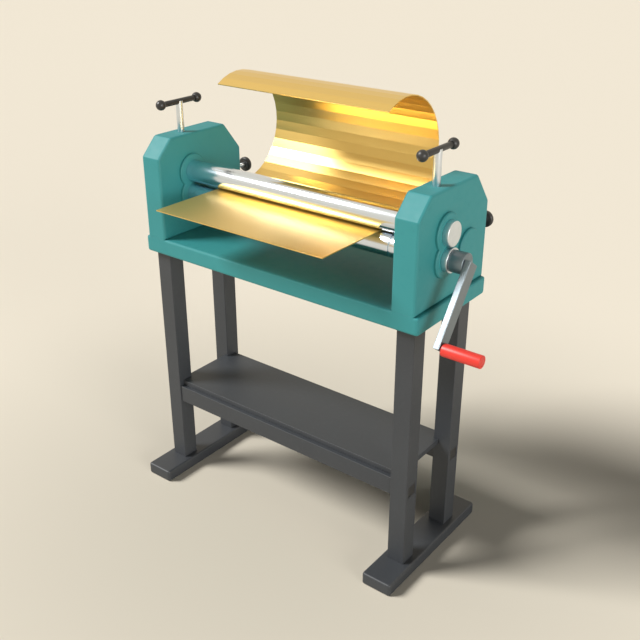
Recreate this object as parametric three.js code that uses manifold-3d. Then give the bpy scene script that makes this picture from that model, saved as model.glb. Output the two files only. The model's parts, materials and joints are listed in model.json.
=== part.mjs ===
// Hand slip roll machine on its stand, with a brass sheet half rolled in it.
// Millimetres, +Z up, +X towards the crank, +Y towards the rear roll. The front is -Y.
import * as THREE from 'three';
import { mergeVertices } from 'three/addons/utils/BufferGeometryUtils.js';
import Module from 'manifold-3d';

const wasm = await Module();
wasm.setup();

// Gap between neighbouring pieces, and the steps of round surfaces
const clearance = 0.3;
const rollSegments = 48;
const roundSegments = 24;
const ballRows = 12;
const castingEdge = 5.5;
const castingCorner = 8;

// Stand: feet, legs, rails and shelf
const footLength = 453;
const footWidth = 89;
const footHeight = 37;
const footEdge = 5;
const footCorner = 7;
const legEndInset = 19;
const legFrontInset = 19.7;
const legRearInset = 39.7;
const legSize = 51;
const legWall = 3;
const legEdge = 2;
const legPlate = 8;
const legLength = 703;
const railHeight = 52;
const railDepth = 44;
const railBore = 32;
const railAboveFloor = 246.5;
const tenonHeight = 42;
const tenonDepth = 40;
const plugThickness = 6;
const plugRecess = 1;
const shelfPastLegsX = 15;
const shelfPastLegsY = 35.2;
const shelfThickness = 15;
const shelfSheet = 2.5;

// Bed casting under the housings
const bedLength = 920;
const bedDepth = 326;
const bedThickness = 47;
const bedWall = 14;
const bedDeck = 11;
const bedRib = 12;
const bedPockets = 3;
const bedPadLength = 92;

// Side housings: cast shells, open at the bottom
const housingInset = 10;
const housingThickness = 67;
const housingHeight = 283;
const frontChamferRun = 50;
const frontChamferDrop = 50.5;
const rearChamferRun = 63.5;
const rearChamferDrop = 80;
const chamferEasing = 5;
const innerWall = 13;
const outerWall = 10;
const endWall = 12;
const roofWall = 14;
const bossHeight = 8;
const bossEdge = 2.5;
const pinchBossRadius = 49;
const rearBossRadius = 45;
const guideThickness = 9;

// Rolls and the sheet between them
const rollRadius = 31.4;
const rollEdge = 1;
const pinchJournalRadius = 18;
const rearJournalRadius = 15;
const pinchRollY = -41;
const rearRollY = 67.5;
const nipHeight = 144.3;
const rollLift = 8;
const rearTravel = 12;
const slotClearance = 0.4;
const endCapLength = 15.5;
const endCapDepth = 10;
const endCapEdge = 1.5;
const grooveRadii = [2.6, 2.1, 1.6];
const firstGrooveX = 311;
const groovePitch = 19;
const grooveSteps = 3;
const sheetThickness = 2.5;
const sheetWidth = 546;
const sheetFrontY = -283.5;
const curlRadius = 155;
const curlCentreY = 52.5;
const curlAngle = 213;
const curlSteps = 22;

// Bearing bushes, sliding blocks and their screws
const bushRadius = 23;
const blockThickness = 26;
const upperBlockWidth = 64;
const upperBlockBelow = 30;
const upperBlockAbove = 37;
const rearBlockFront = 24;
const rearBlockBack = 36;
const rearBlockBelow = 24;
const rearBlockAbove = 33;
const captiveRoof = 6;
const liftScrewRadius = 10;
const liftScrewTop = 369.5;
const liftHeadRadius = 8;
const liftHeadLength = 6;
const liftNeckRadius = 5;
const liftNutRadius = 14;
const liftNutFlange = 17.4;
const liftNutCover = 6;
const nutFlangeLength = 5;
const rearScrewRadius = 6;
const rearScrewRise = 19.2;
const rearHeadRadius = 7;
const rearHeadLength = 5;
const rearNeckRadius = 4.2;
const rearNutRadius = 10;
const rearNutFlange = 14;
const rearNutCover = 5;

// T handles and rear knobs
const barRadius = 7.8;
const barSinkIntoScrew = 2;
const ballRadius = 14;
const ballSpacing = 136;
const ballBoreDepth = 10;
const knobRadius = 22;
const knobLength = 14;
const knobEdge = 5;
const knobStandOff = 50;
const knobBoreDepth = 8;

// Pinch gears in the left housing
const gearTeeth = 14;
const gearWidth = 10;
const gearGapToBlock = 4.6;
const gearAddendum = 4.2;
const gearDedendum = 5.2;
const gearBacklash = 0.5;
const gearPressureAngle = 25;
const keyWidth = 6;
const keyHeight = 6;

// Crank
const crankTilt = 35.4;
const hubRadius = 27;
const hubLength = 37.6;
const hubEdge = 2;
const hubShaftRadius = 13;
const hubShaftLength = 27;
const crankKeyLength = 18;
const armCentres = 206.5;
const armWidth = 39.6;
const armThickness = 15.8;
const armPastHub = 6;
const armPastGrip = 5.5;
const armEdge = 1;
const gripRadius = 16;
const gripLength = 102.2;
const gripEdge = 4;
const gripEndEdge = 1.5;
const spindleRadius = 6;
const spindleEndRadius = 3;
const spindleHeadRadius = 10;
const spindleHeadLength = 5;
const gripCapLength = 5;

// Heights and places worked out from the driving dimensions
const legSpacingX = bedLength - 2 * legEndInset - legSize;
const legSpacingY = bedDepth - legFrontInset - legRearInset - legSize;
const standOffsetY = (legFrontInset - legRearInset) / 2;
const shelfLength = legSpacingX - legSize + 2 * shelfPastLegsX;
const shelfDepth = legSpacingY - legSize + 2 * shelfPastLegsY;
const legBottom = footHeight + clearance;
const bedBottom = legBottom + legLength + clearance;
const bedTop = bedBottom + bedThickness;
const railTop = railAboveFloor + railHeight;
const housingOuterX = bedLength / 2 - housingInset;
const housingInnerX = housingOuterX - housingThickness;
const pocketInnerX = housingInnerX + innerWall;
const pocketOuterX = housingOuterX - outerWall;
const bossInnerX = housingInnerX - bossHeight;
const bossOuterX = housingOuterX + bossHeight;
const pinchRise = rollRadius + sheetThickness / 2 + clearance;
const upperRollHeight = nipHeight + pinchRise;
const lowerRollHeight = nipHeight - pinchRise;
const rollBodyX = bossInnerX - clearance;
const endCapX = bossOuterX + clearance;
const rollEndX = endCapX + endCapLength;
const blockInnerX = pocketInnerX + clearance;
const blockOuterX = blockInnerX + blockThickness;
const screwX = (housingInnerX + housingOuterX) / 2;
const upperBlockTop = upperRollHeight + upperBlockAbove;
const rearBlockEndY = rearRollY + rearBlockBack;
const rearScrewHeight = lowerRollHeight + rearScrewRise;
const gearInnerX = blockOuterX + gearGapToBlock;
const gearOuterX = gearInnerX + gearWidth;
const barHeight = liftScrewTop - barSinkIntoScrew;
const hubX = rollEndX + clearance;
const armX = hubX + hubLength + clearance;
const gripX = armX + armThickness + clearance;
const gripEndX = gripX + gripLength;
const curlCentreHeight = nipHeight + curlRadius;
const knobFaceY = bedDepth / 2 + knobStandOff;
const knobEndY = knobFaceY + knobLength;

const lookOf = (color, roughness, metalness) =>
  new THREE.MeshStandardMaterial({ color, roughness, metalness });
const tealPaint = () => lookOf(0x3f8f8c, 0.45, 0.0);
const charcoalPaint = () => lookOf(0x3b3d3e, 0.55, 0.0);
const chrome = () => lookOf(0xd6d8d9, 0.15, 1.0);
const turnedSteel = () => lookOf(0xa9adb0, 0.35, 1.0);
const darkSteel = () => lookOf(0x50555a, 0.4, 0.8);
const bronze = () => lookOf(0xb08a4a, 0.35, 1.0);
const castIron = () => lookOf(0x6f7375, 0.6, 0.6);
const brass = () => lookOf(0xd2a23c, 0.22, 1.0);
const blackPlastic = () => lookOf(0x1e1f20, 0.4, 0.0);
const redPlastic = () => lookOf(0xe8453a, 0.35, 0.0);

// Solids for joining and cutting
function solid(geometry) {
  const bare = geometry.clone();
  bare.deleteAttribute('normal');
  bare.deleteAttribute('uv');
  const merged = mergeVertices(bare, 1e-4);
  return new wasm.Manifold(new wasm.Mesh({
    numProp: 3,
    vertProperties: new Float32Array(merged.attributes.position.array),
    triVerts: new Uint32Array(merged.index.array),
  }));
}

function geometryOf(body) {
  const mesh = body.getMesh();
  const geometry = new THREE.BufferGeometry();
  const points = new Float32Array(mesh.vertProperties);
  geometry.setAttribute('position', new THREE.BufferAttribute(points, 3));
  geometry.setIndex(new THREE.BufferAttribute(new Uint32Array(mesh.triVerts), 1));
  geometry.computeVertexNormals();
  return geometry;
}

const joined = (...bodies) => bodies.reduce((sum, body) => sum.add(body));
const cutFrom = (body, ...tools) => tools.reduce((rest, tool) => rest.subtract(tool), body);

// Block between two opposite corners
function block(x0, x1, y0, y1, z0, z1) {
  const geometry = new THREE.BoxGeometry(x1 - x0, y1 - y0, z1 - z0);
  return solid(geometry.translate((x0 + x1) / 2, (y0 + y1) / 2, (z0 + z1) / 2));
}

// Outline in the plane of a and b, pushed along the third axis from start to end
function prism(axis, outline, start, end, edge = 0, steps = 2) {
  const geometry = new THREE.ExtrudeGeometry(outline, {
    depth: end - start - 2 * edge,
    bevelEnabled: edge > 0,
    bevelThickness: edge,
    bevelSize: edge,
    bevelOffset: -edge,
    bevelSegments: steps,
  });
  geometry.translate(0, 0, start + edge);
  if (axis === 'x') geometry.applyMatrix4(turnToX);
  return solid(geometry);
}

// Maps the drawing plane to Y and Z and its normal to X
const turnToX = new THREE.Matrix4().makeBasis(
  new THREE.Vector3(0, 1, 0),
  new THREE.Vector3(0, 0, 1),
  new THREE.Vector3(1, 0, 0),
);

// Body of revolution about an axis through the origin: profile points are [place along axis, radius]
function turned(axis, profile, segments = roundSegments) {
  const points = profile.map(([along, radius]) => new THREE.Vector2(radius, along));
  const geometry = new THREE.LatheGeometry(points, segments);
  if (axis === 'x') geometry.rotateZ(-Math.PI / 2);
  if (axis === 'z') geometry.rotateX(Math.PI / 2);
  return solid(geometry);
}

function rod(axis, start, end, radius, segments = roundSegments) {
  return turned(axis, [[start, 0], [start, radius], [end, radius], [end, 0]], segments);
}

// Rod with both end edges broken by a chamfer
function chamferedRod(axis, start, end, radius, edge, segments = roundSegments) {
  const profile = [
    [start, 0], [start, radius - edge], [start + edge, radius],
    [end - edge, radius], [end, radius - edge], [end, 0],
  ];
  return turned(axis, profile, segments);
}

function moved(body, x, y, z) {
  return solid(geometryOf(body).translate(x, y, z));
}

function mirroredX(body) {
  const geometry = geometryOf(body);
  geometry.scale(-1, 1, 1);
  const index = geometry.index.array;
  for (let i = 0; i < index.length; i += 3) [index[i], index[i + 1]] = [index[i + 1], index[i]];
  return solid(geometry);
}

function polygon(points) {
  return new THREE.Shape(points.map(([a, b]) => new THREE.Vector2(a, b)));
}

// Outline with the corners of the given numbers rounded, starting at the reach from each corner
function roundedOutline(points, corners, reach) {
  return polygon(points.flatMap((corner, i) => {
    if (!corners.includes(i)) return [corner];
    const towards = (other) => {
      const length = Math.hypot(other[0] - corner[0], other[1] - corner[1]);
      return corner.map((place, k) => place + (other[k] - place) * reach / length);
    };
    const start = towards(points.at(i - 1));
    const end = towards(points[(i + 1) % points.length]);
    const middle = corner.map((place, k) => place / 2 + (start[k] + end[k]) / 4);
    return [start, middle, end];
  }));
}

function roundedRectangle(width, depth, corner) {
  const a = width / 2;
  const b = depth / 2;
  return roundedOutline([[-a, -b], [a, -b], [a, b], [-a, b]], [0, 1, 2, 3], corner);
}

// Round-ended slot that lets a journal travel from its rest place
function travelSlot(x0, x1, y, z, radius, travelY, travelZ) {
  const start = moved(rod('x', x0, x1, radius), 0, y, z);
  const end = moved(rod('x', x0, x1, radius), 0, y + travelY, z + travelZ);
  const halfY = travelY > 0 ? 0 : radius;
  const halfZ = travelZ > 0 ? 0 : radius;
  return joined(start, end, block(x0, x1, y - halfY, y + travelY + halfY, z - halfZ, z + travelZ + halfZ));
}

const assembly = new THREE.Group();
const stand = new THREE.Group();
const head = new THREE.Group();
stand.position.set(0, standOffsetY, 0);
head.position.set(0, 0, bedTop);

function addPart(group, name, body, material) {
  const mesh = new THREE.Mesh(geometryOf(body), material);
  mesh.name = name;
  group.add(mesh);
  return mesh;
}

const sides = [['left', -1], ['right', 1]];
const rows = [['front', -1], ['rear', 1]];
const onSide = (side, body) => (side < 0 ? mirroredX(body) : body);

// Foot bar under a pair of legs
function footBody() {
  return prism('z', roundedRectangle(footWidth, footLength, footCorner), 0, footHeight, footEdge);
}

// Square tube leg with end plates, pierced for the rail that passes through it
function legBody() {
  const top = legBottom + legLength;
  const half = legSize / 2;
  const inner = half - legWall;
  const railMid = railAboveFloor + tenonHeight / 2;
  const post = prism('z', roundedRectangle(legSize, legSize, legEdge), legBottom, top);
  const hollow = block(-inner, inner, -inner, inner, legBottom + legPlate, top - legPlate);
  const tenonHole = block(
    -legSize, legSize, -tenonDepth / 2 - clearance, tenonDepth / 2 + clearance,
    railMid - tenonHeight / 2 - clearance, railMid + tenonHeight / 2 + clearance,
  );
  return cutFrom(post, hollow, tenonHole);
}

// Hollow rail with shouldered ends that run through the legs to their outer faces
function railBody() {
  const shoulder = legSpacingX / 2 - legSize / 2 - clearance;
  const tip = legSpacingX / 2 + legSize / 2;
  const tenonTop = railAboveFloor + tenonHeight;
  const bar = block(-shoulder, shoulder, -railDepth / 2, railDepth / 2, railAboveFloor, railTop);
  const tenons = block(-tip, tip, -tenonDepth / 2, tenonDepth / 2, railAboveFloor, tenonTop);
  const boreBottom = railAboveFloor + (tenonHeight - railBore) / 2;
  const bore = block(-tip - 1, tip + 1, -railBore / 2, railBore / 2, boreBottom, boreBottom + railBore);
  return joined(bar, tenons).subtract(bore);
}

function railPlug(side) {
  const outer = legSpacingX / 2 + legSize / 2 - plugRecess;
  const half = railBore / 2 - clearance;
  const mid = railAboveFloor + tenonHeight / 2;
  return onSide(side, block(outer - plugThickness, outer, -half, half, mid - half, mid + half));
}

// Folded shelf pan on the rails, notched round the four legs
function shelfBody() {
  const bottom = railTop + clearance;
  const top = bottom + shelfThickness;
  const halfX = shelfLength / 2;
  const halfY = shelfDepth / 2;
  const betweenX = legSpacingX / 2 - legSize / 2 - clearance;
  const betweenY = legSpacingY / 2 - legSize / 2 - clearance;
  const cross = (inset, z0, z1) => joined(
    block(-halfX + inset, halfX - inset, -betweenY + inset, betweenY - inset, z0, z1),
    block(-betweenX + inset, betweenX - inset, -halfY + inset, halfY - inset, z0, z1),
  );
  return cross(0, bottom, top).subtract(cross(shelfSheet, bottom - 1, top - shelfSheet));
}

function buildStand() {
  for (const [sideName, side] of sides) {
    const x = side * legSpacingX / 2;
    addPart(stand, `foot_${sideName}`, footBody(), charcoalPaint()).position.x = x;
    for (const [rowName, row] of rows) {
      const y = row * legSpacingY / 2;
      const leg = addPart(stand, `leg_${rowName}_${sideName}`, legBody(), charcoalPaint());
      leg.position.set(x, y, 0);
      const plug = addPart(stand, `rail_plug_${rowName}_${sideName}`, railPlug(side), blackPlastic());
      plug.position.y = y;
    }
  }
  for (const [rowName, row] of rows) {
    addPart(stand, `rail_${rowName}`, railBody(), charcoalPaint()).position.y = row * legSpacingY / 2;
  }
  addPart(stand, 'shelf_plate', shelfBody(), charcoalPaint());
}

// Seat under a housing, flush with its faces where the edge of the bed is rounded away
function housingSeat() {
  const halfDepth = bedDepth / 2;
  const reach = 2 * castingEdge;
  const outline = polygon([
    [-halfDepth, -reach], [halfDepth, -reach], [halfDepth, reach], [-halfDepth, reach],
  ]);
  const above = block(housingInnerX - 1, housingOuterX + 1, -bedDepth, bedDepth, 0, reach + 1);
  return prism('x', outline, housingInnerX, housingOuterX, castingEdge).subtract(above);
}

// Bed casting: deck and walls, with pockets between ribs underneath
function bedBody() {
  const outline = roundedRectangle(bedLength, bedDepth, castingCorner);
  const slab = prism('z', outline, -bedThickness, 0, castingEdge);
  const pocketSpan = bedLength - 2 * bedPadLength;
  const pocketLength = (pocketSpan - (bedPockets - 1) * bedRib) / bedPockets;
  const pockets = [];
  for (let i = 0; i < bedPockets; i += 1) {
    const x = -pocketSpan / 2 + i * (pocketLength + bedRib);
    const halfDepth = bedDepth / 2 - bedWall;
    pockets.push(block(x, x + pocketLength, -halfDepth, halfDepth, -bedThickness - 1, -bedDeck));
  }
  const seats = sides.map(([, side]) => onSide(side, housingSeat()));
  return cutFrom(joined(slab, ...seats), ...pockets);
}

// Octagonal side of a housing: front face, front chamfer, top, rear chamfer, rear face
const housingOutline = roundedOutline([
  [-bedDepth / 2, clearance],
  [bedDepth / 2, clearance],
  [bedDepth / 2, housingHeight - rearChamferDrop],
  [bedDepth / 2 - rearChamferRun, housingHeight],
  [-bedDepth / 2 + frontChamferRun, housingHeight],
  [-bedDepth / 2, housingHeight - frontChamferDrop],
], [2, 3, 4, 5], chamferEasing);

// Hollow of the casting, kept parallel to the outline by the wall thicknesses
function pocketOutline() {
  const front = -bedDepth / 2 + endWall;
  const rear = bedDepth / 2 - endWall;
  const roof = housingHeight - roofWall;
  return polygon([
    [front, -1],
    [rear, -1],
    [rear, housingHeight - rearChamferDrop - endWall / 3],
    [bedDepth / 2 - rearChamferRun - endWall / 3, roof],
    [-bedDepth / 2 + frontChamferRun + endWall / 3, roof],
    [front, housingHeight - frontChamferDrop - endWall / 3],
  ]);
}

function boss(x0, x1, y, z, radius) {
  const outward = x1 > x0;
  const profile = [
    [x0, 0], [x0, radius], [x1 - (outward ? bossEdge : -bossEdge), radius],
    [x1, radius - bossEdge], [x1, 0],
  ];
  const ordered = outward ? profile : profile.reverse();
  return moved(turned('x', ordered, rollSegments), 0, y, z);
}

// Ribs that guide the upper block up and down and the rear block back and forth
function guideRibs() {
  const depth = blockOuterX + clearance;
  const root = pocketInnerX - 1;
  const roof = housingHeight - roofWall + 1;
  const rear = bedDepth / 2 - endWall + 1;
  const half = upperBlockWidth / 2 + clearance;
  const foot = upperRollHeight - upperBlockBelow;
  const rearTop = lowerRollHeight + rearBlockAbove + clearance;
  const rearBottom = lowerRollHeight - rearBlockBelow - clearance;
  const ribFront = rearRollY - rearBlockFront;
  return [
    block(root, depth, pinchRollY - half - guideThickness, pinchRollY - half, foot, roof),
    block(root, depth, pinchRollY + half, pinchRollY + half + guideThickness, foot, roof),
    block(root, depth, ribFront, rear, rearTop, rearTop + guideThickness),
    block(root, depth, ribFront, rear, rearBottom - guideThickness, rearBottom),
  ];
}

function housingBody() {
  const pinchPlaces = [[upperRollHeight, pinchBossRadius], [lowerRollHeight, pinchBossRadius]];
  const bosses = pinchPlaces.flatMap(([height, radius]) => [
    boss(housingInnerX + 1, bossInnerX, pinchRollY, height, radius),
    boss(housingOuterX - 1, bossOuterX, pinchRollY, height, radius),
  ]);
  bosses.push(boss(housingInnerX + 1, bossInnerX, rearRollY, lowerRollHeight, rearBossRadius));
  bosses.push(boss(housingOuterX - 1, bossOuterX, rearRollY, lowerRollHeight, rearBossRadius));
  const shell = cutFrom(
    prism('x', housingOutline, housingInnerX, housingOuterX, castingEdge),
    prism('x', pocketOutline(), pocketInnerX, pocketOuterX),
  );
  const journalHole = pinchJournalRadius + slotClearance;
  const through = [bossInnerX - 1, bossOuterX + 1];
  const roof = housingHeight - roofWall;
  const roofSeat = housingHeight - liftNutCover;
  const rear = bedDepth / 2 - endWall;
  const rearSeat = bedDepth / 2 - rearNutCover;
  const liftHole = (top, radius) => moved(rod('z', roof - 1, top, radius), screwX, pinchRollY, 0);
  const rearHole = (end, radius) => moved(rod('y', rear - 1, end, radius), screwX, 0, rearScrewHeight);
  return cutFrom(
    joined(shell, ...bosses, ...guideRibs()),
    travelSlot(...through, pinchRollY, upperRollHeight, journalHole, 0, rollLift),
    moved(rod('x', ...through, bushRadius + clearance), 0, pinchRollY, lowerRollHeight),
    travelSlot(bossInnerX - 1, pocketInnerX + 1, rearRollY, lowerRollHeight,
      rearJournalRadius + slotClearance, rearTravel, 0),
    liftHole(housingHeight + 1, liftScrewRadius + slotClearance),
    liftHole(roofSeat, liftNutRadius + clearance),
    rearHole(bedDepth / 2 + 1, rearScrewRadius + slotClearance),
    rearHole(rearSeat, rearNutRadius + clearance),
  );
}

// Threaded bronze inserts, flanged on the inside of the casting
function liftNut() {
  const roof = housingHeight - roofWall;
  const flangeTop = roof - clearance;
  const flangeBottom = flangeTop - nutFlangeLength;
  const top = housingHeight - liftNutCover - clearance;
  const bore = liftScrewRadius + clearance;
  return turned('z', [
    [flangeBottom, bore], [flangeBottom, liftNutFlange], [flangeTop, liftNutFlange],
    [flangeTop, liftNutRadius], [top, liftNutRadius], [top, bore], [flangeBottom, bore],
  ]);
}

function rearNut() {
  const wall = bedDepth / 2 - endWall;
  const flangeEnd = wall - clearance;
  const flangeStart = flangeEnd - nutFlangeLength;
  const end = bedDepth / 2 - rearNutCover - clearance;
  const bore = rearScrewRadius + clearance;
  return turned('y', [
    [flangeStart, bore], [flangeStart, rearNutFlange], [flangeEnd, rearNutFlange],
    [flangeEnd, rearNutRadius], [end, rearNutRadius], [end, bore], [flangeStart, bore],
  ]);
}

function bush(x0, x1) {
  const bore = pinchJournalRadius + clearance;
  return turned('x', [[x0, bore], [x0, bushRadius], [x1, bushRadius], [x1, bore], [x0, bore]]);
}

const bushPlaces = [['inner', bossInnerX, pocketInnerX], ['outer', pocketOuterX, bossOuterX]];

function buildFrame() {
  addPart(head, 'bed_casting', bedBody(), tealPaint());
  for (const [name, side] of sides) {
    addPart(head, `housing_${name}`, onSide(side, housingBody()), tealPaint());
    const liftInsert = addPart(head, `lift_nut_${name}`, liftNut(), bronze());
    liftInsert.position.set(side * screwX, pinchRollY, 0);
    const rearInsert = addPart(head, `rear_nut_${name}`, rearNut(), bronze());
    rearInsert.position.set(side * screwX, 0, rearScrewHeight);
    for (const [place, x0, x1] of bushPlaces) {
      const insert = addPart(head, `${place}_bush_${name}`, onSide(side, bush(x0, x1)), bronze());
      insert.position.set(0, pinchRollY, lowerRollHeight);
    }
  }
}

// Key slots are cut half into the shaft and half into what it drives
function keySlot(x0, x1, shaftRadius, gap) {
  return block(
    x0 - gap, x1 + gap, -keyWidth / 2 - gap, keyWidth / 2 + gap,
    shaftRadius - keyHeight / 2 - gap, shaftRadius + keyHeight / 2 + gap,
  );
}

// Half-round grooves that let a roll pass a wired edge, as profile points
function grooveProfile() {
  return grooveRadii.flatMap((radius, i) => {
    const middle = firstGrooveX + i * groovePitch;
    return Array.from({ length: grooveSteps + 1 }, (_, k) => {
      const angle = Math.PI * (1 - k / grooveSteps);
      return [middle + radius * Math.cos(angle), rollRadius - radius * Math.sin(angle)];
    });
  });
}

// Roll body with a journal on each end, as a profile along X
function rollProfile(leftEnd, rightEnd, grooved) {
  return [
    ...leftEnd,
    [-rollBodyX, rollRadius - rollEdge],
    [-rollBodyX + rollEdge, rollRadius],
    ...(grooved ? grooveProfile() : []),
    [rollBodyX - rollEdge, rollRadius],
    [rollBodyX, rollRadius - rollEdge],
    ...rightEnd,
  ];
}

const journalEndX = endCapX + endCapDepth;
const rightJournal = [
  [rollBodyX, pinchJournalRadius], [journalEndX, pinchJournalRadius], [journalEndX, 0],
];
const leftJournal = rightJournal.map(([x, radius]) => [-x, radius]).reverse();

function endCap() {
  const cap = chamferedRod('x', endCapX, rollEndX, rollRadius, endCapEdge, rollSegments);
  const bore = rod('x', endCapX - 1, journalEndX + clearance, pinchJournalRadius + clearance);
  return cap.subtract(bore);
}

function endCollar() {
  const collar = chamferedRod('x', endCapX, rollEndX, rollRadius, endCapEdge, rollSegments);
  return collar.subtract(rod('x', endCapX - 1, rollEndX + 1, pinchJournalRadius + clearance));
}

// Involute spur gear outline with a tooth, or a gap, on its vertical centre line
function gearOutline(startAngle) {
  const pitchRadius = pinchRise;
  const pressure = THREE.MathUtils.degToRad(gearPressureAngle);
  const baseRadius = pitchRadius * Math.cos(pressure);
  const involute = (angle) => Math.tan(angle) - angle;
  const halfAtPitch = Math.PI / (2 * gearTeeth) - gearBacklash / (4 * pitchRadius);
  const halfAngle = (radius) => halfAtPitch + involute(pressure)
    - (radius > baseRadius ? involute(Math.acos(baseRadius / radius)) : 0);
  const tip = pitchRadius + gearAddendum;
  const flankSteps = 4;
  const flank = [pitchRadius - gearDedendum];
  for (let k = 0; k <= flankSteps; k += 1) flank.push(baseRadius + (tip - baseRadius) * k / flankSteps);
  const points = [];
  for (let tooth = 0; tooth < gearTeeth; tooth += 1) {
    const middle = startAngle + tooth * 2 * Math.PI / gearTeeth;
    const at = (radius, angle) => [radius * Math.cos(angle), radius * Math.sin(angle)];
    for (const radius of flank) points.push(at(radius, middle - halfAngle(radius)));
    for (const radius of [...flank].reverse()) points.push(at(radius, middle + halfAngle(radius)));
  }
  return polygon(points);
}

function gearBody(startAngle) {
  const blank = prism('x', gearOutline(startAngle), -gearOuterX, -gearInnerX);
  const bore = rod('x', -gearOuterX - 1, -gearInnerX + 1, pinchJournalRadius + clearance);
  return cutFrom(blank, bore, keySlot(-gearOuterX, -gearInnerX, pinchJournalRadius, clearance));
}

const gearKey = () => keySlot(-gearOuterX, -gearInnerX, pinchJournalRadius, 0);

function buildUpperRoll() {
  const group = new THREE.Group();
  group.position.set(0, pinchRollY, upperRollHeight);
  head.add(group);
  const roll = turned('x', rollProfile(leftJournal, rightJournal, false), rollSegments);
  const keyway = keySlot(-gearOuterX, -gearInnerX, pinchJournalRadius, clearance);
  addPart(group, 'upper_roll', roll.subtract(keyway), chrome());
  addPart(group, 'upper_gear', gearBody(-Math.PI / 2 + Math.PI / gearTeeth), turnedSteel());
  addPart(group, 'upper_gear_key', gearKey(), darkSteel());
  for (const [name, side] of sides) {
    addPart(group, `upper_end_cap_${name}`, onSide(side, endCap()), chrome());
  }
}

function buildRearRoll() {
  const end = blockOuterX;
  const left = [[-end, 0], [-end, rearJournalRadius], [-rollBodyX, rearJournalRadius]];
  const right = [[rollBodyX, rearJournalRadius], [end, rearJournalRadius], [end, 0]];
  const roll = turned('x', rollProfile(left, right, true), rollSegments);
  addPart(head, 'rear_roll', roll, chrome()).position.set(0, rearRollY, lowerRollHeight);
}

// Slot in a sliding block that holds the collar of its screw, open towards the housing's outside
function captiveSlot(headRadius, headLength, neckRadius, mouth) {
  const reach = blockOuterX - screwX + 1;
  const neck = neckRadius + clearance;
  const collar = headRadius + clearance;
  const roof = captiveRoof;
  const depth = headLength + 2 * clearance;
  return joined(
    block(-neck, reach, -neck, neck, mouth - roof - 1, mouth + 1),
    block(-collar, reach, -collar, collar, mouth - roof - depth, mouth - roof),
  );
}

function upperBlock() {
  const half = upperBlockWidth / 2;
  const body = block(
    blockInnerX, blockOuterX, pinchRollY - half, pinchRollY + half,
    upperRollHeight - upperBlockBelow, upperBlockTop,
  );
  const hole = rod('x', blockInnerX - 1, blockOuterX + 1, pinchJournalRadius + clearance);
  const bore = moved(hole, 0, pinchRollY, upperRollHeight);
  const slot = captiveSlot(liftHeadRadius, liftHeadLength, liftNeckRadius, upperBlockTop);
  return cutFrom(body, bore, moved(slot, screwX, pinchRollY, 0));
}

function rearBlock() {
  const body = block(
    blockInnerX, blockOuterX, rearRollY - rearBlockFront, rearBlockEndY,
    lowerRollHeight - rearBlockBelow, lowerRollHeight + rearBlockAbove,
  );
  const hole = rod('x', blockInnerX - 1, blockOuterX + 1, rearJournalRadius + clearance);
  const bore = moved(hole, 0, rearRollY, lowerRollHeight);
  const slot = geometryOf(captiveSlot(rearHeadRadius, rearHeadLength, rearNeckRadius, rearBlockEndY));
  slot.rotateX(-Math.PI / 2);
  return cutFrom(body, bore, moved(solid(slot), screwX, 0, rearScrewHeight));
}

// Screw with a captive collar at one end, as a profile from the collar outwards
function screwProfile(mouth, headRadius, headLength, neckRadius, shankRadius, end) {
  const headEnd = mouth - captiveRoof - clearance;
  const headStart = headEnd - headLength;
  const shankStart = mouth + clearance;
  return [
    [headStart, 0], [headStart, headRadius], [headEnd, headRadius], [headEnd, neckRadius],
    [shankStart, neckRadius], [shankStart, shankRadius], [end, shankRadius], [end, 0],
  ];
}

// Vertical screw whose top is a half-round saddle for the cross bar
function liftScrew() {
  const screw = turned('z', screwProfile(
    upperBlockTop, liftHeadRadius, liftHeadLength, liftNeckRadius, liftScrewRadius, liftScrewTop,
  ));
  const reach = liftScrewRadius + 1;
  const saddle = moved(rod('y', -reach, reach, barRadius + clearance), 0, 0, barHeight);
  return screw.subtract(saddle);
}

function handleBar() {
  const half = ballSpacing / 2 - ballRadius + ballBoreDepth - clearance;
  return moved(rod('y', -half, half, barRadius), 0, 0, barHeight);
}

function handleBall(row) {
  const centre = row * ballSpacing / 2;
  const ball = solid(new THREE.SphereGeometry(ballRadius, roundSegments, ballRows).rotateX(Math.PI / 2));
  const mouth = centre - row * (ballRadius + 1);
  const bottom = centre - row * (ballRadius - ballBoreDepth);
  const bore = rod('y', Math.min(mouth, bottom), Math.max(mouth, bottom), barRadius + clearance);
  return moved(moved(ball, 0, centre, 0).subtract(bore), 0, 0, barHeight);
}

function buildLift() {
  for (const [name, side] of sides) {
    addPart(head, `upper_block_${name}`, onSide(side, upperBlock()), castIron());
    const group = new THREE.Group();
    group.position.set(side * screwX, pinchRollY, 0);
    head.add(group);
    addPart(group, `lift_screw_${name}`, liftScrew(), chrome());
    addPart(group, `lift_bar_${name}`, handleBar(), blackPlastic());
    for (const [rowName, row] of rows) {
      addPart(group, `lift_ball_${name}_${rowName}`, handleBall(row), blackPlastic());
    }
  }
}

// Round knob with rounded rims, bored for its screw
function rearKnob() {
  const steps = 4;
  const rim = (centreY, from) => Array.from({ length: steps + 1 }, (_, k) => {
    const angle = from + Math.PI / 2 * k / steps;
    return [centreY - knobEdge * Math.cos(angle), knobRadius - knobEdge + knobEdge * Math.sin(angle)];
  });
  const profile = [
    [knobFaceY, 0], ...rim(knobFaceY + knobEdge, 0),
    ...rim(knobEndY - knobEdge, Math.PI / 2), [knobEndY, 0],
  ];
  const bore = rod('y', knobFaceY - 1, knobFaceY + knobBoreDepth, rearScrewRadius + clearance);
  return turned('y', profile).subtract(bore);
}

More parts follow.
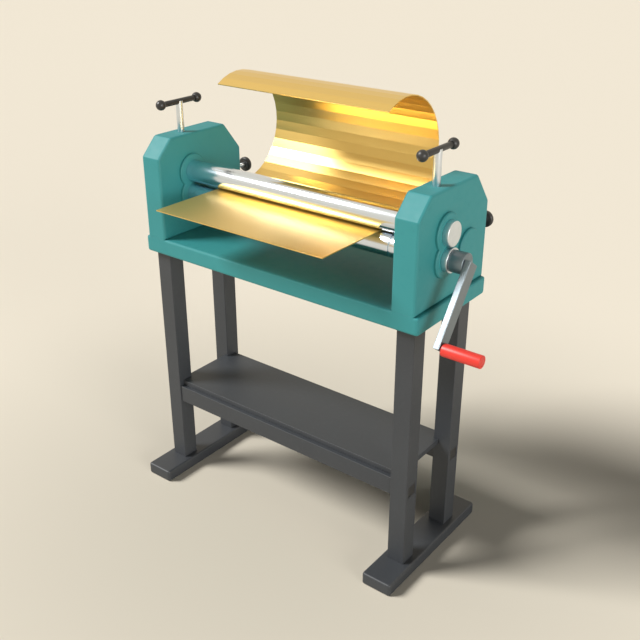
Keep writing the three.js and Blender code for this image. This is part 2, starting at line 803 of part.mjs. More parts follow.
function buildRearAdjusters() {
  const screwEnd = knobFaceY + knobBoreDepth - clearance;
  for (const [name, side] of sides) {
    addPart(head, `rear_block_${name}`, onSide(side, rearBlock()), castIron());
    const group = new THREE.Group();
    group.position.set(side * screwX, 0, rearScrewHeight);
    head.add(group);
    const profile = screwProfile(
      rearBlockEndY, rearHeadRadius, rearHeadLength, rearNeckRadius, rearScrewRadius, screwEnd,
    );
    addPart(group, `rear_screw_${name}`, turned('y', profile), chrome());
    addPart(group, `rear_knob_${name}`, rearKnob(), blackPlastic());
  }
}

// Crank arm outline: a flat bar cut square at both ends, hanging from the hub along -Z
function armOutline() {
  const side = armWidth / 2;
  const top = armPastHub;
  const bottom = -armCentres - armPastGrip;
  return polygon([[-side, bottom], [side, bottom], [side, top], [-side, top]]);
}

function gripBody() {
  const grip = turned('x', [
    [gripX, 0], [gripX, gripRadius - gripEdge], [gripX + gripEdge, gripRadius],
    [gripEndX - gripEndEdge, gripRadius], [gripEndX, gripRadius - gripEndEdge], [gripEndX, 0],
  ]);
  const counterbore = rod('x', gripEndX - counterboreDepth, gripEndX + 1, spindleHeadRadius + clearance);
  return cutFrom(grip, counterbore, rod('x', gripX - 1, gripEndX, spindleRadius + clearance));
}

const counterboreDepth = gripCapLength + spindleHeadLength + 2 * clearance;

function gripSpindle() {
  const headStart = gripEndX - counterboreDepth + clearance;
  const headEnd = headStart + spindleHeadLength;
  return turned('x', [
    [armX + clearance, 0], [armX + clearance, spindleEndRadius], [gripX, spindleEndRadius],
    [gripX, spindleRadius], [headStart, spindleRadius],
    [headStart, spindleHeadRadius], [headEnd, spindleHeadRadius], [headEnd, 0],
  ]);
}

function buildLowerRoll() {
  const group = new THREE.Group();
  group.position.set(0, pinchRollY, lowerRollHeight);
  head.add(group);
  const shaftEnd = hubX + hubShaftLength;
  const keyEnd = shaftEnd - clearance;
  const keyStart = keyEnd - crankKeyLength;
  const driveEnd = [
    [rollBodyX, pinchJournalRadius], [rollEndX, pinchJournalRadius], [rollEndX, hubShaftRadius],
    [shaftEnd, hubShaftRadius], [shaftEnd, 0],
  ];
  const roll = turned('x', rollProfile(leftJournal, driveEnd, true), rollSegments);
  const gearKeyway = keySlot(-gearOuterX, -gearInnerX, pinchJournalRadius, clearance);
  const hubKeyway = keySlot(keyStart, keyEnd, hubShaftRadius, clearance);
  addPart(group, 'lower_roll', cutFrom(roll, gearKeyway, hubKeyway), chrome());
  addPart(group, 'lower_gear', gearBody(Math.PI / 2), turnedSteel());
  addPart(group, 'lower_gear_key', gearKey(), darkSteel());
  addPart(group, 'lower_end_cap_left', mirroredX(endCap()), chrome());
  addPart(group, 'lower_end_collar_right', endCollar(), chrome());
  const hub = cutFrom(
    chamferedRod('x', hubX, hubX + hubLength, hubRadius, hubEdge),
    rod('x', hubX - 1, shaftEnd + clearance, hubShaftRadius + clearance),
    hubKeyway,
  );
  addPart(group, 'crank_hub', hub, darkSteel());
  addPart(group, 'crank_key', keySlot(keyStart, keyEnd, hubShaftRadius, 0), turnedSteel());
  group.add(crankSwing());
}

// Arm and grip, tilted together about the roll's axis
function crankSwing() {
  const swing = new THREE.Group();
  swing.rotation.x = THREE.MathUtils.degToRad(-crankTilt);
  const arm = prism('x', armOutline(), armX, armX + armThickness, armEdge, 1);
  const eye = rod('x', armX - 1, gripX, spindleEndRadius + clearance);
  addPart(swing, 'crank_arm', arm.subtract(moved(eye, 0, 0, -armCentres)), turnedSteel());
  const gripGroup = new THREE.Group();
  gripGroup.position.z = -armCentres;
  addPart(gripGroup, 'grip_spindle', gripSpindle(), turnedSteel());
  addPart(gripGroup, 'crank_grip', gripBody(), redPlastic());
  const cap = rod('x', gripEndX - gripCapLength, gripEndX, spindleHeadRadius);
  addPart(gripGroup, 'grip_end_cap', cap, redPlastic());
  swing.add(gripGroup);
  return swing;
}

// Sheet section: flat through the rolls, then an arc that climbs behind the upper roll
function sheetOutline() {
  const half = sheetThickness / 2;
  const arc = (radius) => Array.from({ length: curlSteps + 1 }, (_, k) => {
    const angle = THREE.MathUtils.degToRad(-90 + curlAngle * k / curlSteps);
    return [curlCentreY + radius * Math.cos(angle), curlCentreHeight + radius * Math.sin(angle)];
  });
  return polygon([
    [sheetFrontY, nipHeight - half],
    ...arc(curlRadius + half),
    ...arc(curlRadius - half).reverse(),
    [sheetFrontY, nipHeight + half],
  ]);
}

buildStand();
buildFrame();
buildUpperRoll();
buildLift();
buildLowerRoll();
buildRearRoll();
buildRearAdjusters();
addPart(head, 'brass_sheet', prism('x', sheetOutline(), -sheetWidth / 2, sheetWidth / 2), brass());

// The origin is on the floor under the middle of the whole machine
const middleX = (gripEndX - rollEndX) / 2;
const middleY = (knobEndY + sheetFrontY) / 2;
assembly.position.set(-middleX, -middleY, 0);
assembly.add(stand, head);
const machine = new THREE.Group();
machine.add(assembly);

export default machine;
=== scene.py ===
"""Looks of a hand slip roll machine on its stand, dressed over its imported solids."""
import json
import math

import bmesh
import bpy
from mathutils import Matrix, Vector


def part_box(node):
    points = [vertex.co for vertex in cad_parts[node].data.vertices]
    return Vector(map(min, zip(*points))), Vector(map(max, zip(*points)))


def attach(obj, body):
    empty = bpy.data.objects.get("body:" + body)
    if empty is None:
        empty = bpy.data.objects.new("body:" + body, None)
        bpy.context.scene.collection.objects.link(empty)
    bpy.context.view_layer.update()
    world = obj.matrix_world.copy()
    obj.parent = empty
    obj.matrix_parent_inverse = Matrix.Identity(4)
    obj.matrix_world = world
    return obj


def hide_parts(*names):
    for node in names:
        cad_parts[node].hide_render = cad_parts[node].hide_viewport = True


MM = 0.001
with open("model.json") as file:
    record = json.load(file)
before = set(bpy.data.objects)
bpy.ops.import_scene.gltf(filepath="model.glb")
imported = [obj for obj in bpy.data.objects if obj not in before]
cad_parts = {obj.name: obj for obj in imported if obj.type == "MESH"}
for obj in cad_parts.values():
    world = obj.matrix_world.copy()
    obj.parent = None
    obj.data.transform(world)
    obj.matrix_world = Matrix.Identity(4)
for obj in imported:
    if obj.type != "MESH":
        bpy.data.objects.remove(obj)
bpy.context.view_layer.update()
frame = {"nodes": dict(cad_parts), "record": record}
nodes = frame["nodes"]


def linear(code):
    """Linear colour of a hex code."""
    values = [int(code[i:i + 2], 16) / 255 for i in (1, 3, 5)]
    return [v / 12.92 if v <= 0.04045 else ((v + 0.055) / 1.055) ** 2.4 for v in values] + [1.0]


# Shader maths

class Signal:
    """Output socket whose arithmetic adds Math nodes to its finish."""

    def __init__(self, finish, socket):
        self.finish = finish
        self.socket = socket

    def __add__(self, other):
        return self.finish.math("ADD", self, other)

    def __mul__(self, other):
        return self.finish.math("MULTIPLY", self, other)


class Finish:
    """Node tree of one surface finish, or of the world given as its owner."""

    def __init__(self, name, owner=None):
        self.material = owner or bpy.data.materials.new(name)
        self.material.use_nodes = True
        self.tree = self.material.node_tree
        self.tree.nodes.clear()

    def node(self, kind, settings=None, inputs=None, output=0):
        made = self.tree.nodes.new(kind)
        for key, value in (settings or {}).items():
            setattr(made, key, value)
        for key, value in (inputs or {}).items():
            socket = self.find(made.inputs, key)
            if isinstance(value, Signal):
                self.tree.links.new(value.socket, socket)
            else:
                socket.default_value = value
        return Signal(self, self.find(made.outputs, output))

    @staticmethod
    def find(sockets, key):
        if isinstance(key, int):
            return sockets[key]
        return next((s for s in sockets if s.identifier == key), None) or sockets[key]

    def math(self, operation, a, b):
        return self.node("ShaderNodeMath", {"operation": operation}, {0: a, 1: b})

    def ramp(self, value, stops):
        made = self.node("ShaderNodeValToRGB", {}, {0: value})
        ramp = made.socket.node.color_ramp
        while len(ramp.elements) < len(stops):
            ramp.elements.new(1.0)
        for element, (place, level) in zip(ramp.elements, stops):
            element.position = place
            element.color = (level, level, level, 1.0)
        return made

    def place(self, scale=(1, 1, 1)):
        """Object coordinates in metres, stretched by scale."""
        where = self.node("ShaderNodeTexCoord", output="Object")
        return self.node("ShaderNodeMapping", {}, {"Vector": where, "Scale": scale})

    def noise(self, scale, detail=3.0, stretch=(1, 1, 1), roughness=0.5):
        return self.node("ShaderNodeTexNoise", {}, {
            "Vector": self.place(stretch), "Scale": scale, "Detail": detail, "Roughness": roughness})

    def blend(self, factor, first, second):
        return self.node("ShaderNodeMix", {"data_type": "RGBA"}, {
            "Factor_Float": factor, "A_Color": first, "B_Color": second}, "Result_Color")

    def bump(self, height, strength, distance, under=None):
        inputs = {"Height": height, "Strength": strength, "Distance": distance}
        if under:
            inputs["Normal"] = under
        return self.node("ShaderNodeBump", {}, inputs)

    def surface(self, **inputs):
        sockets = {key.replace("_", " "): value for key, value in inputs.items()}
        shader = self.node("ShaderNodeBsdfPrincipled", {}, sockets)
        self.node_output(shader)
        return self.material

    def node_output(self, shader, kind="ShaderNodeOutputMaterial"):
        target = self.tree.nodes.new(kind)
        self.tree.links.new(shader.socket, target.inputs["Surface"])


# Finishes

def enamel():
    """Satin teal enamel over cast iron, with a faint orange peel and uneven gloss."""
    f = Finish("teal_enamel")
    cloudy = f.noise(7.0, 3.0)
    mottle = f.noise(55.0, 4.0)
    colour = f.blend(cloudy, linear("#2d8688"), linear("#328c8e"))
    colour = f.blend(f.ramp(mottle, [(0.62, 0.0), (0.8, 0.25)]), colour, linear("#287274"))
    peel = f.bump(f.noise(650.0, 2.0), 0.05, 0.6 * MM)
    casting = f.bump(f.noise(38.0, 3.0), 0.04, 2.0 * MM, peel)
    return f.surface(Base_Color=colour, Roughness=mottle * 0.16 + 0.5, Normal=casting,
                     Specular_IOR_Level=0.5)


def powder_coat():
    """Charcoal powder coat with its fine grain."""
    f = Finish("charcoal_powder_coat")
    cloudy = f.noise(9.0, 3.0)
    colour = f.blend(cloudy, linear("#34373b"), linear("#3b3e42"))
    dust = f.ramp(f.noise(85.0, 5.0), [(0.55, 0.0), (0.85, 0.3)])
    colour = f.blend(dust, colour, linear("#4a4d50"))
    grain = f.bump(f.noise(1100.0, 2.0), 0.16, 0.4 * MM)
    return f.surface(Base_Color=colour, Roughness=cloudy * 0.12 + 0.42, Normal=grain,
                     Specular_IOR_Level=0.5)


def ground_chrome():
    """Ground and plated rolls: grinding rings round the X axis and light smears."""
    f = Finish("ground_chrome")
    rings = f.noise(1.0, 4.0, (900.0, 6.0, 6.0))
    smears = f.noise(1.0, 3.0, (14.0, 40.0, 40.0))
    colour = f.blend(smears, linear("#e0e8f2"), linear("#d6dfea"))
    return f.surface(Base_Color=colour, Metallic=1.0, Roughness=smears * 0.05 + rings * 0.03 + 0.11,
                     Normal=f.bump(rings, 0.03, 0.1 * MM))


def bright_steel(name, scale):
    """Turned bright steel, with tool marks spaced along the given stretch."""
    f = Finish(name)
    rings = f.noise(1.0, 4.0, scale)
    smears = f.noise(60.0, 3.0)
    colour = f.blend(smears, linear("#e2e8ee"), linear("#cfd6dc"))
    return f.surface(Base_Color=colour, Metallic=1.0, Roughness=rings * 0.1 + 0.26,
                     Normal=f.bump(rings, 0.05, 0.1 * MM))


def drawn_steel():
    """Cold drawn flat bar of the crank arm, with lengthwise draw lines."""
    f = Finish("drawn_steel")
    lines = f.noise(1.0, 3.0, (700.0, 500.0, 16.0))
    smears = f.noise(35.0, 4.0)
    colour = f.blend(smears, linear("#828c92"), linear("#757f86"))
    return f.surface(Base_Color=colour, Metallic=0.85, Roughness=lines * 0.1 + smears * 0.1 + 0.28,
                     Normal=f.bump(lines, 0.06, 0.1 * MM))


def blackened_steel():
    """Oil-blackened steel of the crank hub."""
    f = Finish("blackened_steel")
    rings = f.noise(1.0, 3.0, (700.0, 8.0, 8.0))
    cloudy = f.noise(70.0, 4.0)
    colour = f.blend(cloudy, linear("#808c93"), linear("#6e7a82"))
    return f.surface(Base_Color=colour, Metallic=0.75, Roughness=cloudy * 0.14 + 0.3,
                     Normal=f.bump(rings, 0.08, 0.2 * MM))


def rolled_brass():
    """Half-hard brass sheet: faint rolling lines across the rolls and a little tarnish."""
    f = Finish("rolled_brass")
    lines = f.noise(1.0, 4.0, (160.0, 5.0, 5.0))
    cloudy = f.noise(4.0, 4.0)
    colour = f.blend(cloudy, linear("#e3c375"), linear("#ddba6a"))
    return f.surface(Base_Color=colour, Metallic=0.8, Roughness=lines * 0.03 + cloudy * 0.05 + 0.27,
                     Normal=f.bump(lines, 0.012, 0.1 * MM))


def bearing_bronze():
    f = Finish("bearing_bronze")
    rings = f.noise(1.0, 3.0, (600.0, 12.0, 12.0))
    colour = f.blend(rings, linear("#b08846"), linear("#99713a"))
    return f.surface(Base_Color=colour, Metallic=1.0, Roughness=rings * 0.15 + 0.25)


def machined_iron():
    f = Finish("machined_iron")
    grain = f.noise(260.0, 5.0)
    colour = f.blend(grain, linear("#6d7072"), linear("#57595b"))
    return f.surface(Base_Color=colour, Metallic=0.7, Roughness=grain * 0.2 + 0.35,
                     Normal=f.bump(grain, 0.2, 0.4 * MM))


def moulded_black():
    """Black phenolic of the balls, bars and knobs, with handling sheen."""
    f = Finish("moulded_black")
    handled = f.noise(90.0, 3.0)
    colour = f.blend(handled, linear("#242424"), linear("#2f2e2e"))
    fine = f.bump(f.noise(900.0, 2.0), 0.06, 0.3 * MM)
    return f.surface(Base_Color=colour, Roughness=handled * 0.2 + 0.28, Normal=fine,
                     Specular_IOR_Level=0.5)


def moulded_red():
    """Red grip plastic with a faint mould grain."""
    f = Finish("moulded_red")
    handled = f.noise(60.0, 3.0)
    colour = f.blend(handled, linear("#e23b30"), linear("#d9342b"))
    fine = f.bump(f.noise(800.0, 2.0), 0.06, 0.3 * MM)
    return f.surface(Base_Color=colour, Roughness=handled * 0.15 + 0.32, Normal=fine,
                     Specular_IOR_Level=0.5)


finishes = {
    "teal_paint": enamel(),
    "charcoal_paint": powder_coat(),
    "chrome": ground_chrome(),
    "turned_steel": drawn_steel(),
    "dark_steel": blackened_steel(),
    "bronze": bearing_bronze(),
    "cast_iron": machined_iron(),
    "brass": rolled_brass(),
    "black_plastic": moulded_black(),
    "red_plastic": moulded_red(),
}
faced_steel = bright_steel("faced_end_caps", (60.0, 60.0, 60.0))
slot_of = {entry["node"]: entry["material_slot"] for entry in frame["record"]["subparts"]}
body_of = {n: body for body, names in frame["record"]["behaviour"]["bodies"].items() for n in names}
for name, node in nodes.items():
    node.data.materials.clear()
    node.data.materials.append(finishes[slot_of[name]])


# Pieces

def settle(piece, node, slot=None, material=None):
    """Gives a new piece the body and finish of the solid it dresses."""
    slot = slot or slot_of[node]
    piece.data.materials.clear()
    piece.data.materials.append(material or finishes[slot])
    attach(piece, body_of[node])
    return piece


def piece_from(shape, name):
    """Object at the origin made of a finished bmesh."""
    for face in shape.faces:
        face.smooth = True
    mesh = bpy.data.meshes.new(name)
    shape.to_mesh(mesh)
    shape.free()
    piece = bpy.data.objects.new(name, mesh)
    bpy.context.scene.collection.objects.link(piece)
    return piece


def even_shading(piece):
    """Keeps flat faces flat beside small rounded edges."""
    smooth = piece.modifiers.new("even shading", "WEIGHTED_NORMAL")
    smooth.keep_sharp = True
    smooth.weight = 80


def merged_copy(node):
    """The node's solid with its loose triangles joined and its flat faces made whole."""
    shape = bmesh.new()
    shape.from_mesh(nodes[node].data)
    bmesh.ops.remove_doubles(shape, verts=shape.verts, dist=0.002 * MM)
    bmesh.ops.dissolve_limit(shape, angle_limit=math.radians(0.6), use_dissolve_boundaries=False,
                             verts=shape.verts, edges=shape.edges, delimit=set())
    return shape


def eased(node, edge, angle=35.0, segments=2, material=None):
    """Dresses a solid with small rounded edges wherever it is sharper than angle."""
    shape = merged_copy(node)
    sharp = [e for e in shape.edges
             if len(e.link_faces) == 2 and e.calc_face_angle(0.0) > math.radians(angle)]
    bmesh.ops.bevel(shape, geom=sharp, offset=edge, offset_type="OFFSET", segments=segments,
                    profile=0.5, affect="EDGES", clamp_overlap=True, material=-1)
    piece = piece_from(shape, f"{node}_finished")
    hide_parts(node)
    settle(piece, node, material=material)
    even_shading(piece)
    return piece


def spun(name, profile, axis, centre, segments=96):
    """Body of revolution: profile points are (place along the axis, radius), both in mm."""
    shape = bmesh.new()
    along = Vector([float(a == axis) for a in "xyz"])
    outward = Vector((0, 0, 1)) if axis != "z" else Vector((1, 0, 0))
    middle = Vector(centre)
    points = [shape.verts.new(middle + (along * a + outward * r) * MM) for a, r in profile]
    edges = [shape.edges.new(pair) for pair in zip(points, points[1:])]
    bmesh.ops.spin(shape, geom=points + edges, cent=middle, axis=along, dvec=(0, 0, 0),
                   angle=2 * math.pi, steps=segments, use_merge=True, use_duplicate=False)
    bmesh.ops.remove_doubles(shape, verts=shape.verts, dist=0.001 * MM)
    bmesh.ops.recalc_face_normals(shape, faces=shape.faces)
    return piece_from(shape, name)


def middle_of(node):
    low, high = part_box(node)
    return (low + high) / 2


def floor_stage():
    """Wide pale floor with painted shade: its colour darkens close round the stand."""
    shape = bmesh.new()
    bmesh.ops.create_grid(shape, x_segments=1, y_segments=1, size=60.0)
    floor = piece_from(shape, "studio_floor")
    f = Finish("studio_floor")
    where = f.node("ShaderNodeTexCoord", output="Object")
    reach = f.node("ShaderNodeVectorMath", {"operation": "LENGTH"}, {0: where}, "Value")
    # painted shade: the floor colour is darker within 1.9 m of the stand's middle, darkest inside 0.1
    # m
    painted_shade = f.node("ShaderNodeMapRange", {"interpolation_type": "SMOOTHSTEP"},
                  {"Value": reach, "From Min": 0.1, "From Max": 1.9}, "Result")
    colour = f.blend(painted_shade, linear("#d1c9b8"), linear("#f0e6d3"))
    floor.data.materials.append(f.surface(Base_Color=colour, Roughness=0.9,
                                          Specular_IOR_Level=0.0))


# View and light

TARGET = Vector((46.6 - 78.25, 28.25, 601.8)) * MM
DISTANCE = 2482.2 * MM
AZIMUTH = math.radians(37.739)
ELEVATION = math.radians(25.837)
AIR_GLOW = 0.09


def direction(azimuth, elevation):
    """Unit vector towards a place round the machine; azimuth 0 is the front."""
    return Vector((math.sin(azimuth) * math.cos(elevation),
                   -math.cos(azimuth) * math.cos(elevation), math.sin(elevation)))


def aim(thing, place, target):
    thing.location = place
    thing.rotation_euler = (target - place).to_track_quat("-Z", "Y").to_euler()
    bpy.context.scene.collection.objects.link(thing)


def photo_camera():
    camera = bpy.data.cameras.new("photo_camera")
    camera.lens = 50.0
    camera.sensor_width = 36.0
    camera.sensor_fit = "HORIZONTAL"
    camera.clip_end = 200.0
    holder = bpy.data.objects.new("photo_camera", camera)
    aim(holder, TARGET + direction(AZIMUTH, ELEVATION) * DISTANCE, TARGET)
    bpy.context.scene.camera = holder


def sun(name, azimuth, elevation, spread, strength):
    """Even light, as wide in the sky as spread says."""
    light = bpy.data.lights.new(name, "SUN")
    light.angle = math.radians(spread)
    light.energy = strength
    holder = bpy.data.objects.new(name, light)
    target = Vector((0.0, 0.0, 0.6))
    aim(holder, target + direction(math.radians(azimuth), math.radians(elevation)) * 6.0, target)


def studio_air():
    """Pale surroundings; only their glow on the object is dimmer than what is seen."""
    world = bpy.data.worlds.new("studio_air")
    bpy.context.scene.world = world
    f = Finish("studio_air", world)
    seen = f.node("ShaderNodeLightPath", output="Is Camera Ray")
    for ray in ("Is Glossy Ray", "Is Transmission Ray"):
        seen = f.math("MAXIMUM", seen, f.node("ShaderNodeLightPath", output=ray))
    glow = f.node("ShaderNodeBackground", {}, {"Color": linear("#ffffff"), "Strength": AIR_GLOW})
    backdrop = f.node("ShaderNodeBackground", {}, {"Color": linear("#f2e8d5"), "Strength": 1.0})
    choice = f.node("ShaderNodeMixShader", {}, {0: seen, 1: glow, 2: backdrop})
    f.node_output(choice, "ShaderNodeOutputWorld")


# Castings and stand

CASTING_EDGE = 1.3 * MM
FOOT_EDGE = 1.2 * MM
SHEET_EDGE = 0.8 * MM
PLUG_EDGE = 0.6 * MM
BAR_EDGE = 0.5 * MM
SOFT_CASTING = 16.0

for side in ("left", "right"):
    eased(f"housing_{side}", CASTING_EDGE, SOFT_CASTING)
    eased(f"foot_{side}", FOOT_EDGE, SOFT_CASTING)
    for row in ("front", "rear"):
        eased(f"leg_{row}_{side}", BAR_EDGE)
        eased(f"rail_plug_{row}_{side}", PLUG_EDGE)
eased("bed_casting", CASTING_EDGE, SOFT_CASTING)
for node in ("rail_front", "rail_rear", "shelf_plate"):
    eased(node, SHEET_EDGE)
eased("crank_arm", BAR_EDGE)


# Turned parts

BED = middle_of("bed_casting") / MM
ROLL_RADIUS = 31.4
ROLL_FACE = 374.7
JOURNAL = {"upper_roll": 18.0, "lower_roll": 18.0, "rear_roll": 15.0}
GROOVES = ((311.0, 2.6), (330.0, 2.1), (349.0, 1.6))
CAP_BORE = 18.3
CAP_BORE_DEPTH = 10.3


def ends(node, axis):
    """First and last place of a node along an axis, in mm."""
    low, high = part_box(node)
    index = "xyz".index(axis)
    return low[index] / MM, high[index] / MM


def axis_through(node, axis):
    """Point of the node's own axis of turning, with its place along that axis left at zero."""
    centre = middle_of(node)
    centre["xyz".index(axis)] = 0.0
    return centre


def rim_in(place, radius, edge, steps=4):
    """Rounded rim that leads from an end face up to the outside."""
    turn = [math.pi / 2 * k / steps for k in range(steps + 1)]
    return [(place + edge * (1 - math.cos(t)), radius - edge + edge * math.sin(t)) for t in turn]


def rim_out(place, radius, edge, steps=4):
    """Rounded rim that leads from the outside down to an end face."""
    turn = [math.pi / 2 * k / steps for k in range(steps + 1)]
    return [(place - edge + edge * math.sin(t), radius - edge + edge * math.cos(t)) for t in turn]


def mirrored(profile):
    return [(-along, radius) for along, radius in reversed(profile)]


def sharpen(piece, angle=32.0):
    """Marks the edges that stay crisp on a smooth-shaded piece."""
    shape = bmesh.new()
    shape.from_mesh(piece.data)
    for edge in shape.edges:
        if len(edge.link_faces) == 2:
            edge.smooth = edge.calc_face_angle(0.0) < math.radians(angle)
    shape.to_mesh(piece.data)
    shape.free()


def turn_down(node, axis, profile, segments=96, material=None, closed=False):
    """Replaces a solid by a rounder turned one on the same axis."""
    if closed:
        profile = profile + profile[:1]
    piece = spun(f"{node}_turned", profile, axis, axis_through(node, axis), segments)
    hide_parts(node)
    settle(piece, node, material=material)
    sharpen(piece)
    return piece


def groove_points(steps=6):
    points = []
    for place, radius in GROOVES:
        for k in range(steps + 1):
            angle = math.pi * (1 - k / steps)
            points.append((BED.x + place + radius * math.cos(angle),
                           ROLL_RADIUS - radius * math.sin(angle)))
    return points


def dress_roll(node):
    """Roll body, journals and wire grooves, round enough for its mirror finish."""
    low, high = ends(node, "x")
    journal = JOURNAL[node]
    left, right = BED.x - ROLL_FACE, BED.x + ROLL_FACE
    grooves = groove_points() if node != "upper_roll" else []
    profile = [(low, 0.0), (low, journal), (left, journal), *rim_in(left, ROLL_RADIUS, 1.0, 3),
               *grooves, *rim_out(right, ROLL_RADIUS, 1.0, 3), (right, journal)]
    if node == "lower_roll":
        shoulder = ends("lower_end_collar_right", "x")[1]
        profile += [(shoulder, journal), (shoulder, 13.0), (high, 13.0), (high, 0.0)]
    else:
        profile += [(high, journal), (high, 0.0)]
    turn_down(node, "x", profile, 128)


for node in JOURNAL:
    dress_roll(node)

for node in ("upper_end_cap_right", "upper_end_cap_left", "lower_end_cap_left"):
    low, high = ends(node, "x")
    outward = 1 if node.endswith("right") else -1
    inner, outer = (low, high) if outward > 0 else (-high, -low)
    cap = [(inner, CAP_BORE), *rim_in(inner, ROLL_RADIUS, 0.8, 2), *rim_out(outer, ROLL_RADIUS, 1.5),
           (outer, 0.0), (inner + CAP_BORE_DEPTH, 0.0), (inner + CAP_BORE_DEPTH, CAP_BORE)]
    turn_down(node, "x", cap if outward > 0 else mirrored(cap), 128, faced_steel, closed=True)

low, high = ends("lower_end_collar_right", "x")
turn_down("lower_end_collar_right", "x",
          [(low, CAP_BORE), *rim_in(low, ROLL_RADIUS, 0.8, 2), *rim_out(high, ROLL_RADIUS, 1.5),
           (high, CAP_BORE)], 128, faced_steel, closed=True)

low, high = ends("crank_hub", "x")
turn_down("crank_hub", "x",
          [(low, 13.3), *rim_in(low, 27.0, 1.2, 3), *rim_out(high, 27.0, 2.2), (high, 0.0),
           (low + 27.3, 0.0), (low + 27.3, 13.3)], closed=True)

low, high = ends("crank_grip", "x")
turn_down("crank_grip", "x",
          [(low, 6.3), *rim_in(low, 16.0, 4.0, 6), *rim_out(high, 16.0, 1.6, 4), (high, 10.3),
           (high - 10.6, 10.3), (high - 10.6, 6.3)], closed=True)
low, high = ends("grip_end_cap", "x")
turn_down("grip_end_cap", "x", [(low, 0.0), (low, 10.0), *rim_out(high, 10.0, 0.8, 3), (high, 0.0)])
low, high = ends("grip_spindle", "x")
shoulder = ends("crank_grip", "x")[0]
turn_down("grip_spindle", "x",
          [(low, 0.0), *rim_in(low, 3.0, 0.5, 3), (shoulder, 3.0), (shoulder, 6.0), (high - 5.0, 6.0),
           (high - 5.0, 10.0), *rim_out(high, 10.0, 0.8, 3), (high, 0.0)])


# Handles, knobs and their screws

BALL_RADIUS = 14.0
BAR_RADIUS = 7.8
BAR_BORE = 8.1
LIFT_RADIUS = 10.0
REAR_RADIUS = 6.0
PITCH = 2.0


def ball_profile(inner, outer):
    """Ball bored for the end of its bar; inner is the side of the bar."""
    sign = 1 if outer > inner else -1
    middle = outer - sign * BALL_RADIUS
    first = math.asin((BAR_BORE + 0.8) / BALL_RADIUS)
    steps = 18
    turn = [first + (math.pi - first) * k / steps for k in range(steps + 1)]
    ball = [(middle - sign * BALL_RADIUS * math.cos(t), BALL_RADIUS * math.sin(t)) for t in turn]
    mouth = ball[0][0]
    bottom = middle - sign * (BALL_RADIUS - 10.0)
    return [(bottom, 0.0), (bottom, BAR_BORE), (mouth + sign * 0.4, BAR_BORE), *ball]


def dress_handle(side):
    """Cross bar and its two balls."""
    bar = f"lift_bar_{side}"
    low, high = ends(bar, "y")
    turn_down(bar, "y", [(low, 0.0), *rim_in(low, BAR_RADIUS, 1.0, 3),
                         *rim_out(high, BAR_RADIUS, 1.0, 3), (high, 0.0)], 64)
    for row in ("front", "rear"):
        ball = f"lift_ball_{side}_{row}"
        low, high = ends(ball, "y")
        profile = ball_profile(high, low) if row == "front" else ball_profile(low, high)
        turn_down(ball, "y", profile, 64)


def sleeve(axis, centre, rings):
    """Skin through rings, each a list of (place along the axis, radius) in mm."""
    shape = bmesh.new()
    index = "xyz".index(axis)
    first, second = [i for i in range(3) if i != index]
    rows = []
    for ring in rings:
        row = []
        for k, (along, radius) in enumerate(ring):
            angle = 2 * math.pi * k / len(ring)
            place = [0.0, 0.0, 0.0]
            place[index] = along
            place[first] = radius * math.cos(angle)
            place[second] = radius * math.sin(angle)
            row.append(shape.verts.new(centre + Vector(place) * MM))
        rows.append(row)
    for low, high in zip(rows, rows[1:]):
        for k in range(len(low)):
            shape.faces.new((low[k - 1], low[k], high[k], high[k - 1]))
    return shape, rows


def finished_sleeve(shape, node):
    """Closes a sleeve's poles and puts it in place of its solid."""
    bmesh.ops.remove_doubles(shape, verts=shape.verts, dist=0.001 * MM)
    bmesh.ops.dissolve_degenerate(shape, edges=shape.edges, dist=0.0005 * MM)
    bmesh.ops.recalc_face_normals(shape, faces=shape.faces)
    piece = piece_from(shape, f"{node}_turned")
    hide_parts(node)
    settle(piece, node, material=faced_steel)
    sharpen(piece)


def thread_rings(start, end, radius, depth, segments, rows_per_turn=6):
    """Rings of a V thread between two places, run out to the full radius at both ends."""
    rings = []
    count = round((end - start) / PITCH * rows_per_turn)
    for row in range(count + 1):
        along = start + (end - start) * row / count
        run_out = min(1.0, (along - start) / PITCH, (end - along) / PITCH)
        ring = []
        for k in range(segments):
            phase = (along / PITCH - k / segments) % 1.0
            ring.append((along, radius - depth * run_out * (1 - abs(2 * phase - 1))))
        rings.append(ring)
    return rings


def captive_end(low, neck_end, collar, length, neck, shank, edge, segments):
    """Rings of the collar that a block holds, and of the neck up to the shank."""
    points = [(low, 0.0), (low, collar - edge), (low + edge, collar), (low + length, collar),
              (low + length, neck), (neck_end, neck), (neck_end, shank)]
    return [[point] * segments for point in points]


def raise_wing(shape, edge, group, top):
    """Lifts one cheek of the saddle up to the top of the screw."""
    caps = [face for face in shape.faces
            if all(v in {edge[k] for k in group} | {edge[-k] for k in group} for v in face.verts)]
    lifted = bmesh.ops.extrude_face_region(shape, geom=caps)["geom"]
    for vert in lifted:
        if isinstance(vert, bmesh.types.BMVert):
            vert.co.z = top
    bmesh.ops.delete(shape, geom=caps, context="FACES")


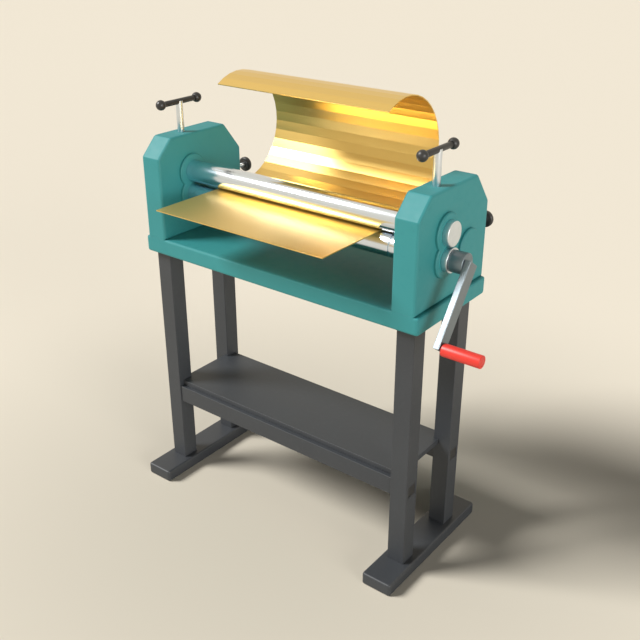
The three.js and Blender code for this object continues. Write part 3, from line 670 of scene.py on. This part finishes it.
def dress_lift_screw(side, segments=80):
    """Bright screw with its collar, thread and the half-round saddle under the cross bar."""
    node = f"lift_screw_{side}"
    low, high = ends(node, "z")
    neck_top = low + 12.6
    thread_top = low + 75.0
    rings = captive_end(low, neck_top, 8.0, 6.0, 5.0, LIFT_RADIUS, 0.6, segments)
    rings += thread_rings(neck_top + 0.5, thread_top, LIFT_RADIUS, 1.1, segments)
    bar_place = middle_of(f"lift_bar_{side}").z / MM
    rim = []
    for k in range(segments):
        across = abs(LIFT_RADIUS * math.cos(2 * math.pi * k / segments))
        drop = math.sqrt(max(BAR_BORE ** 2 - across ** 2, 0.0))
        rim.append((bar_place - drop, LIFT_RADIUS))
    rings.append(rim)
    shape, rows = sleeve("z", axis_through(node, "z"), rings)
    edge = rows[-1]
    half = segments // 2
    for k in range(half):
        corners = [edge[k], edge[k + 1], edge[-k - 1], edge[-k]]
        shape.faces.new(list(dict.fromkeys(corners)))
    wings = [k for k in range(half + 1)
             if abs(LIFT_RADIUS * math.cos(2 * math.pi * k / segments)) >= BAR_BORE - 0.02]
    shape.faces.ensure_lookup_table()
    for group in ([k for k in wings if k < half / 2], [k for k in wings if k > half / 2]):
        raise_wing(shape, edge, group, high * MM)
    finished_sleeve(shape, node)


def dress_rear_screw(side, segments=40):
    """Threaded rear screw with the collar that its block holds."""
    node = f"rear_screw_{side}"
    low, high = ends(node, "y")
    neck_end = low + 11.6
    rings = captive_end(low, neck_end, 7.0, 5.0, 4.2, REAR_RADIUS, 0.5, segments)
    rings += thread_rings(neck_end + 0.5, high - 14.0, REAR_RADIUS, 0.9, segments)
    rings += [[(high - 0.5, REAR_RADIUS)] * segments, [(high, REAR_RADIUS - 0.5)] * segments,
              [(high, 0.0)] * segments]
    shape, _ = sleeve("y", axis_through(node, "y"), rings)
    finished_sleeve(shape, node)


for side in ("left", "right"):
    dress_handle(side)
    dress_lift_screw(side)
    dress_rear_screw(side)
    knob = f"rear_knob_{side}"
    low, high = ends(knob, "y")
    turn_down(knob, "y",
              [(low, 6.3), (low, 9.0), *rim_in(low, 22.0, 5.0, 7), *rim_out(high, 22.0, 5.0, 7),
               (high, 9.0), (high - 0.6, 8.2), (high - 0.6, 0.0), (low + 8.0, 0.0),
               (low + 8.0, 6.3)], 96, closed=True)


photo_camera()
sun("key_light", -51.0, 41.5, 21.0, 3.9)
sun("fill_light", 72.0, 7.0, 36.0, 2.3)
studio_air()
floor_stage()
bpy.context.scene.view_settings.view_transform = "Standard"
